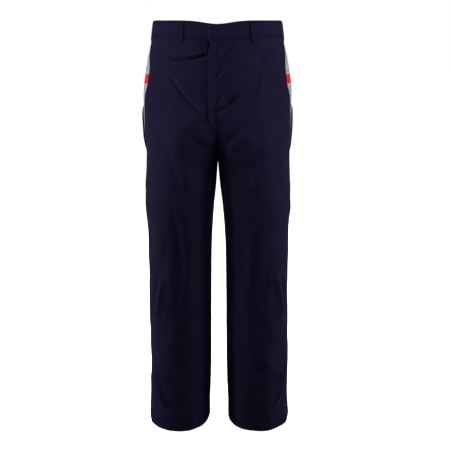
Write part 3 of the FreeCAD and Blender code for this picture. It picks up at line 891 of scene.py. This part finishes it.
def tab_points(x, z):
    """The outer surface of the tab, which lies on the end of the right half of the waistband."""
    points = on_front(x, z, band_points)
    points[..., 1] -= TAB_LIFT * (1 - smooth(-6, TAB_HINGE, x))
    return points


def tab_bend(piece):
    """Bakes the tab's placement into its mesh; its turn about the line where it leaves the waistband is not
    set up here.
    """
    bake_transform(piece)


gx, gz = np.meshgrid(spread(TAB_END - 1.5, TAB_START, 1.2, 1.0), spread(0.0, -WAISTBAND - 0.6, 1.25, 1.2))
forward = np.array([0, -1.0, 0])
# Painted shade runs along the tab's stitching, as on the waistband.
tab = shell("waistband_tab_cloth", tab_points(gx, gz), BAND, navy, forward, "tbs", 1.2,
            seam_shade=0.9 * bump(gz, BAND_STITCH, 0.8))
tab_bend(tab)
cloth(tab, ["waistband_tab"], None)

row_x = np.linspace(TAB_END - 0.5, TAB_START, 40)
row = stitches("waistband_tab_stitching", tab_points(row_x, np.full(40, BAND_STITCH)),
               np.tile(forward, (40, 1)))
tab_bend(row)

tab_back = soft_plate("waistband_tab_grip", (TAB_END + 5.0, TAB_HINGE - 2), (2.4, 3.1),
                      (-5, -WAISTBAND + 6), lining)
cloth(tab_back, ["waistband_tab_lining"], "tab")
under = soft_plate("waistband_underlap_cloth", (-46, 6), (7.3, 9.0), (-2, -WAISTBAND + 1), navy, radius=0.9)
cloth(under, ["waistband_underlap"], "seat")


# ---------------------------------------------------------------------------------------------------
# Belt loops.
# ---------------------------------------------------------------------------------------------------
def belt_loop(spot, side, turn_at):
    """A strap that leaves the top edge, bows out for the belt and is tacked below the waistband."""
    name = "belt_loop_cloth_" + spot
    s = np.linspace(0, 1, 40)
    zs = -0.2 - s * (LOOP_LENGTH + 1.0)
    bow = 1.9 + 2.0 * np.clip(np.sin(np.pi * s), 0, 1) ** 0.55
    bow = bow - 1.4 * smooth(0.86, 1.0, s) - 1.0 * (1 - smooth(0, 0.05, s))
    w = np.concatenate([[-1, -0.97, -0.9], np.linspace(-0.8, 0.8, 11), [0.9, 0.97, 1]])
    _, _, half, depth, _ = section(-20.0, turn_at <= 180)
    a = math.radians(turn_at)
    speed = math.hypot(float(half) * math.sin(a), float(depth) * math.cos(a))
    turn = turn_at + np.degrees(w[None, :] * LOOP_WIDTH / 2 / speed)
    zz = np.broadcast_to(zs[:, None], (len(zs), len(w)))
    ribs = 0.25 * (bump(w, -0.62, 0.1) + bump(w, 0.62, 0.1))
    points = place(side, np.broadcast_to(turn, zz.shape), zz, (bow[:, None] - ribs[None, :]))
    outward = points.copy()
    outward[..., 2] = 0
    # The strap's edges carry a band of painted shade.
    strap = shell(name, points, 1.5, navy, outward, "tbse", 0.8, wear_and_shade_spread=2.0)
    cloth(strap, ["belt_loop_" + spot], "seat")
    turns = turn_at + np.degrees(np.linspace(-0.9, 0.9, 20) * LOOP_WIDTH / 2 / speed)
    for ending, height in (("_tack_top", -2.6), ("_tack_low", -LOOP_LENGTH + 2.2)):
        level = np.full(20, height)
        near = float(np.interp(-height, -zs, bow))
        sewn(stitches(name + ending, place(side, turns, level, near), normals(side, turns, level),
                      pitch=0.75, length=0.9, radius=0.42, lift=0.2), "seat")


for side, name in SIDES:
    for spot, turn_at in LOOP_TURNS.items():
        belt_loop("%s_%s" % (spot, name), side, turn_at)
belt_loop("centre_back", 1, 270.0)

# ---------------------------------------------------------------------------------------------------
# Fly.
# ---------------------------------------------------------------------------------------------------
LIP_PROUD = 2.1
LIP_START = 0.7            # the lip leaves the left front here, just past the centre line
J_CENTRE, J_DROP = -165.0, 30.0


def lip_point(x, z, out):
    """A point of the front at that x, so far proud of it."""
    return on_front(x, z, lambda side, turn, level: place(side, turn, level, out))


gt, gz = np.meshgrid(spread(0.0, 1.0, 0.06, 0.04), spread(-WAISTBAND - 0.4, FLY_BOTTOM - 1.5, 1.6, 0.8))
foot = smooth(-FLY_BOTTOM - 16, -FLY_BOTTOM + 1.5, -gz)
# The lapping edge wavers, and draws back just below the waistband and a little at its foot.
lap = LAP_EDGE - 1.2 + 0.35 * lattice(gz / 26.0, gz * 0, 5) + 6.5 * bump(gz, -38, 22) + foot * 1.5
gx = LIP_START + (lap - LIP_START) * gt
proud = LIP_PROUD * smooth(-1.0, 12.0, -gx) * (1 - 0.7 * foot) + 0.5 * bump(gx, lap + 1.2, 1.8)
gape = 1.2 * bump(gz, -52, 14) * smooth(4, 20, -gx)
# The lip's lapping edge carries a band of painted shade.
lip = shell("fly_lip_cloth", lip_point(gx, gz, proud + gape), CLOTH, navy, forward, "e", 0.8, wear_and_shade_spread=1.0)
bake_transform(lip)
cloth(lip, ["fly_lip"], None)

# The J-shaped stitching that holds the facing: down the left front and round to the lap edge.
line = [(STITCH_LINE, z) for z in np.linspace(-WAISTBAND - 1, J_CENTRE, 50)]
line += [(STITCH_LINE * math.cos(a), J_CENTRE - J_DROP * math.sin(a)) for a in np.linspace(0.05, 1.5, 24)]
line = np.array(line)
line = line[line[:, 0] > 1.5]
sewn(stitches("fly_stitching", lip_point(line[:, 0], line[:, 1], 0.0), np.tile(forward, (len(line), 1))),
     "seat")
tail_x = np.linspace(-5.0, LAP_EDGE + 6, 16)
tail_z = J_CENTRE - J_DROP - 5 * np.array([smooth(0, -15, x) for x in tail_x])
sewn(stitches("fly_lip_stitching", lip_point(tail_x, tail_z, np.full(16, LIP_PROUD * 0.55)),
              np.tile(forward, (16, 1))), "lip")


def rounded_foot(x, z):
    """Rounds the lower outer corner of the facing."""
    low, radius = FLY_BOTTOM + 1, 16
    down = np.clip((low + radius - z) / radius, 0, 1)
    return x * (1 - 0.55 * (1 - np.sqrt(1 - down ** 2)) * (x > 0)), z


facing = soft_plate("fly_facing_cloth", (1.0, STITCH_LINE), (2.6, TAPE_DEPTH - 0.5),
                    (FLY_TOP - 2, FLY_BOTTOM + 1), navy, radius=1.6, curve=rounded_foot, wave=0.1)
fold_edge = soft_plate("fly_turnback_cloth", (-32, LAP_EDGE - 1), (5.0, TAPE_DEPTH - 0.5),
                       (FLY_TOP - 2, FLY_BOTTOM + 1), navy, radius=1.0, wave=0.1)
guard = soft_plate("fly_shield_cloth", (-34, 15), (10.8, 11.8), (FLY_TOP + 3, FLY_BOTTOM - 8), lining,
                   radius=0.5, wave=0.35)
for piece, node, flat in ((facing, "fly_facing", (0.016, 0.162)), (fold_edge, "fly_turnback", (0.010, 0.162)),
                          (guard, "fly_shield", (0.049, 0.176))):
    cloth(piece, [node], "seat")

COIL_PITCH, WIRE = 1.25, 0.36


def coil_teeth(side):
    """Points and faces of one coil: a loop of nylon for each tooth, bent round the edge of the tape."""
    points, faces = [], []
    steps, ring = 9, 6
    arc = np.linspace(-2.2, 2.2, steps)
    for z in np.arange(COIL_TOP - 0.7, COIL_BOTTOM + 0.5, -COIL_PITCH):
        z = z - (0.5 * COIL_PITCH if side > 0 else 0)
        centre = np.stack([ZIP_X + side * (1.55 - 0.95 * np.cos(arc)), TAPE_DEPTH + 0.82 * np.sin(arc),
                           np.full(steps, z)], -1)
        base = len(points)
        for i, c in enumerate(centre):
            ahead = centre[min(i + 1, steps - 1)] - centre[max(i - 1, 0)]
            ahead /= np.linalg.norm(ahead)
            sideways = np.cross(ahead, [0, 0, 1.0])
            for j in range(ring):
                b = 2 * math.pi * j / ring
                points.append(c + sideways * WIRE * math.cos(b) + np.array([0, 0, WIRE * math.sin(b)]))
        for i in range(steps - 1):
            for j in range(ring):
                p, q = base + i * ring + j, base + i * ring + (j + 1) % ring
                faces.append((p, q, q + ring, p + ring))
        faces.append([base + j for j in range(ring)][::-1])
        faces.append([base + (steps - 1) * ring + j for j in range(ring)])
    points = np.array(points)
    points[:, 1] += FLY_FACE
    return lean(points), faces


for side, name in SIDES:
    x = (ZIP_X - 22, ZIP_X - 2.7) if side < 0 else (ZIP_X + 2.7, ZIP_X + 22)
    strip = soft_plate("zip_tape_cloth_" + name, x, (TAPE_DEPTH - 0.3, TAPE_DEPTH + 0.3),
                       (FLY_TOP - 3, FLY_BOTTOM + 2), tape, radius=0.4, wave=0.0, drop=False)
    cloth(strip, ["zip_tape_" + name], "seat")
    coil = new_object("zip_coil_teeth_" + name, *coil_teeth(side), nylon)
    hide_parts("zip_coil_" + name)
    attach(coil, "seat")

# ---------------------------------------------------------------------------------------------------
# Label.
# ---------------------------------------------------------------------------------------------------
zs = spread(-WAISTBAND - 3, -WAISTBAND - 33, 2.0, 0.6)[:, None]
t = np.linspace(-1, 1, 25)[None, :]
zz = np.broadcast_to(zs, (len(zs), t.shape[1]))
turn = np.broadcast_to(270 - 8 * np.abs(t), zz.shape)
sag = -(CLOTH + 0.9) - 0.9 * bump(t, 0.2, 0.6) * smooth(WAISTBAND + 8, WAISTBAND + 33, -zs)
label_points = np.where((t > 0)[..., None], place(1, turn, zz, sag), place(-1, turn, zz, sag))
label = shell("size_label_satin", label_points, 0.35, satin, -forward, "tbse", 0.3)
cloth(label, ["size_label"], "seat")

# ---------------------------------------------------------------------------------------------------
# Camera, floor and light.
# ---------------------------------------------------------------------------------------------------
EYE, LOOKING_DOWN, LENS = (0.018, -1.70, 0.0), 16.85, 54.08
FLOOR_REACH, FLOOR_LEVEL = 14.0, -LENGTH * MM - 0.012
FILL = 0.10                # brightness of the surroundings for everything but the camera
AIM = (0, 0, -0.5)

scene = bpy.context.scene
scene.view_settings.view_transform = "Standard"
camera_data = bpy.data.cameras.new("camera")
camera_data.lens = LENS
camera_data.sensor_width = 36.0
camera = bpy.data.objects.new("camera", camera_data)
camera.location = EYE
camera.rotation_euler = (math.radians(90 - LOOKING_DOWN), 0, 0)
scene.collection.objects.link(camera)
scene.camera = camera


def stage_sheet(name, corners, colour, rough, glow):
    """A flat sheet of the studio."""
    mesh = bpy.data.meshes.new(name)
    mesh.from_pydata(corners, [], [(0, 1, 2, 3)])
    paint = Nodes(name + "_paint")
    paint.shader.inputs["Base Color"].default_value = (colour, colour, colour, 1)
    paint.shader.inputs["Roughness"].default_value = rough
    paint.shader.inputs["Emission Color"].default_value = (1, 1, 1, 1)
    paint.shader.inputs["Emission Strength"].default_value = glow
    mesh.materials.append(paint.material)
    sheet = bpy.data.objects.new(name, mesh)
    scene.collection.objects.link(sheet)
    return sheet


floor = stage_sheet("floor", [(x * FLOOR_REACH, y * FLOOR_REACH, FLOOR_LEVEL)
                              for x, y in ((-1, -1), (1, -1), (1, 1), (-1, 1))], 0.92, 0.9, 1.0)
floor.visible_diffuse = False
floor.visible_glossy = False
world = bpy.data.worlds.new("studio")
world.use_nodes = True
tree = world.node_tree
backdrop = tree.nodes["Background"]
backdrop.inputs[0].default_value = (1, 1, 1, 1)
backdrop.inputs[1].default_value = 1.0
fill = tree.nodes.new("ShaderNodeBackground")
fill.inputs[0].default_value = (0.94, 0.95, 1.0, 1)
fill.inputs[1].default_value = FILL
paths = tree.nodes.new("ShaderNodeLightPath")
chooser = tree.nodes.new("ShaderNodeMixShader")
tree.links.new(paths.outputs["Is Camera Ray"], chooser.inputs[0])
tree.links.new(fill.outputs[0], chooser.inputs[1])
tree.links.new(backdrop.outputs[0], chooser.inputs[2])
tree.links.new(chooser.outputs[0], tree.nodes["World Output"].inputs[0])
scene.world = world


def softbox(name, place_at, target, size, power, spread_angle=180):
    """A soft rectangular lamp, aimed at a target."""
    data = bpy.data.lights.new(name, "AREA")
    data.shape = "RECTANGLE"
    data.size, data.size_y = size
    data.energy = power
    data.spread = math.radians(spread_angle)
    lamp = bpy.data.objects.new(name, data)
    lamp.location = place_at
    aim = np.array(target) - np.array(place_at)
    lamp.rotation_mode = "QUATERNION"
    lamp.rotation_quaternion = Vector(aim).to_track_quat("-Z", "Y")
    lamp.visible_camera = False
    scene.collection.objects.link(lamp)


softbox("light_right", (-1.7, -0.35, -0.35), AIM, (0.4, 1.7), 56)
softbox("light_left", (1.7, -0.35, -0.35), AIM, (0.4, 1.7), 52)
softbox("light_top_right", (-0.75, -1.1, 1.05), (0, 0, -0.1), (0.5, 0.5), 2.4, spread_angle=56)
softbox("light_top_left", (0.75, -1.1, 1.05), (0, 0, -0.1), (0.5, 0.5), 2.2, spread_angle=56)
softbox("light_back", (0, 1.9, 0.4), AIM, (1.6, 1.6), 40)

# A black card on a stand between the two side lights, which keeps each light off the other leg.
card = stage_sheet("light_card", [(0, -0.15, -0.31), (0, -1.30, -0.31), (0, -1.30, -1.09),
                                  (0, -0.15, -1.09)], 0.01, 1.0, 0.0)
card.visible_camera = False
